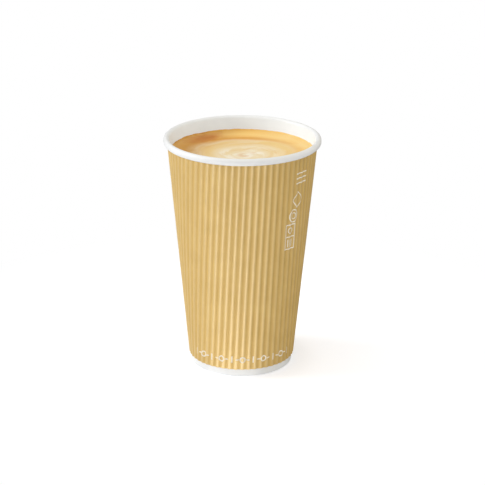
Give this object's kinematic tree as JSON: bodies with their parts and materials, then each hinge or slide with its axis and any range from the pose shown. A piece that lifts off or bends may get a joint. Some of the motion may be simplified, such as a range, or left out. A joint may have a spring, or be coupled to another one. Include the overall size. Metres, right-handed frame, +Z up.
{
  "type": "paper coffee cup",
  "caption": "Tall paper coffee cup with a rolled rim and a corrugated kraft wrap, filled with crema-topped coffee.",
  "frame": {"origin": "on the table, under the middle of the cup", "axes": "+Z up along the cup's axis to the rim, -Y towards the front that the picture shows, +X to the right of the front"},
  "size_m": [0.09, 0.09, 0.136],
  "materials": {
    "coated_board": "smooth white coated paperboard, soft sheen",
    "kraft_paper": "uncoated kraft-brown corrugated paper, matt",
    "drink": "opaque milky drink with a foam top, soft gloss"
  },
  "bodies": {
    "root": {"cup_wall": "coated_board", "bottom_disc": "coated_board", "ripple_sleeve": "kraft_paper", "coffee": "drink"}
  },
  "joints": []
}
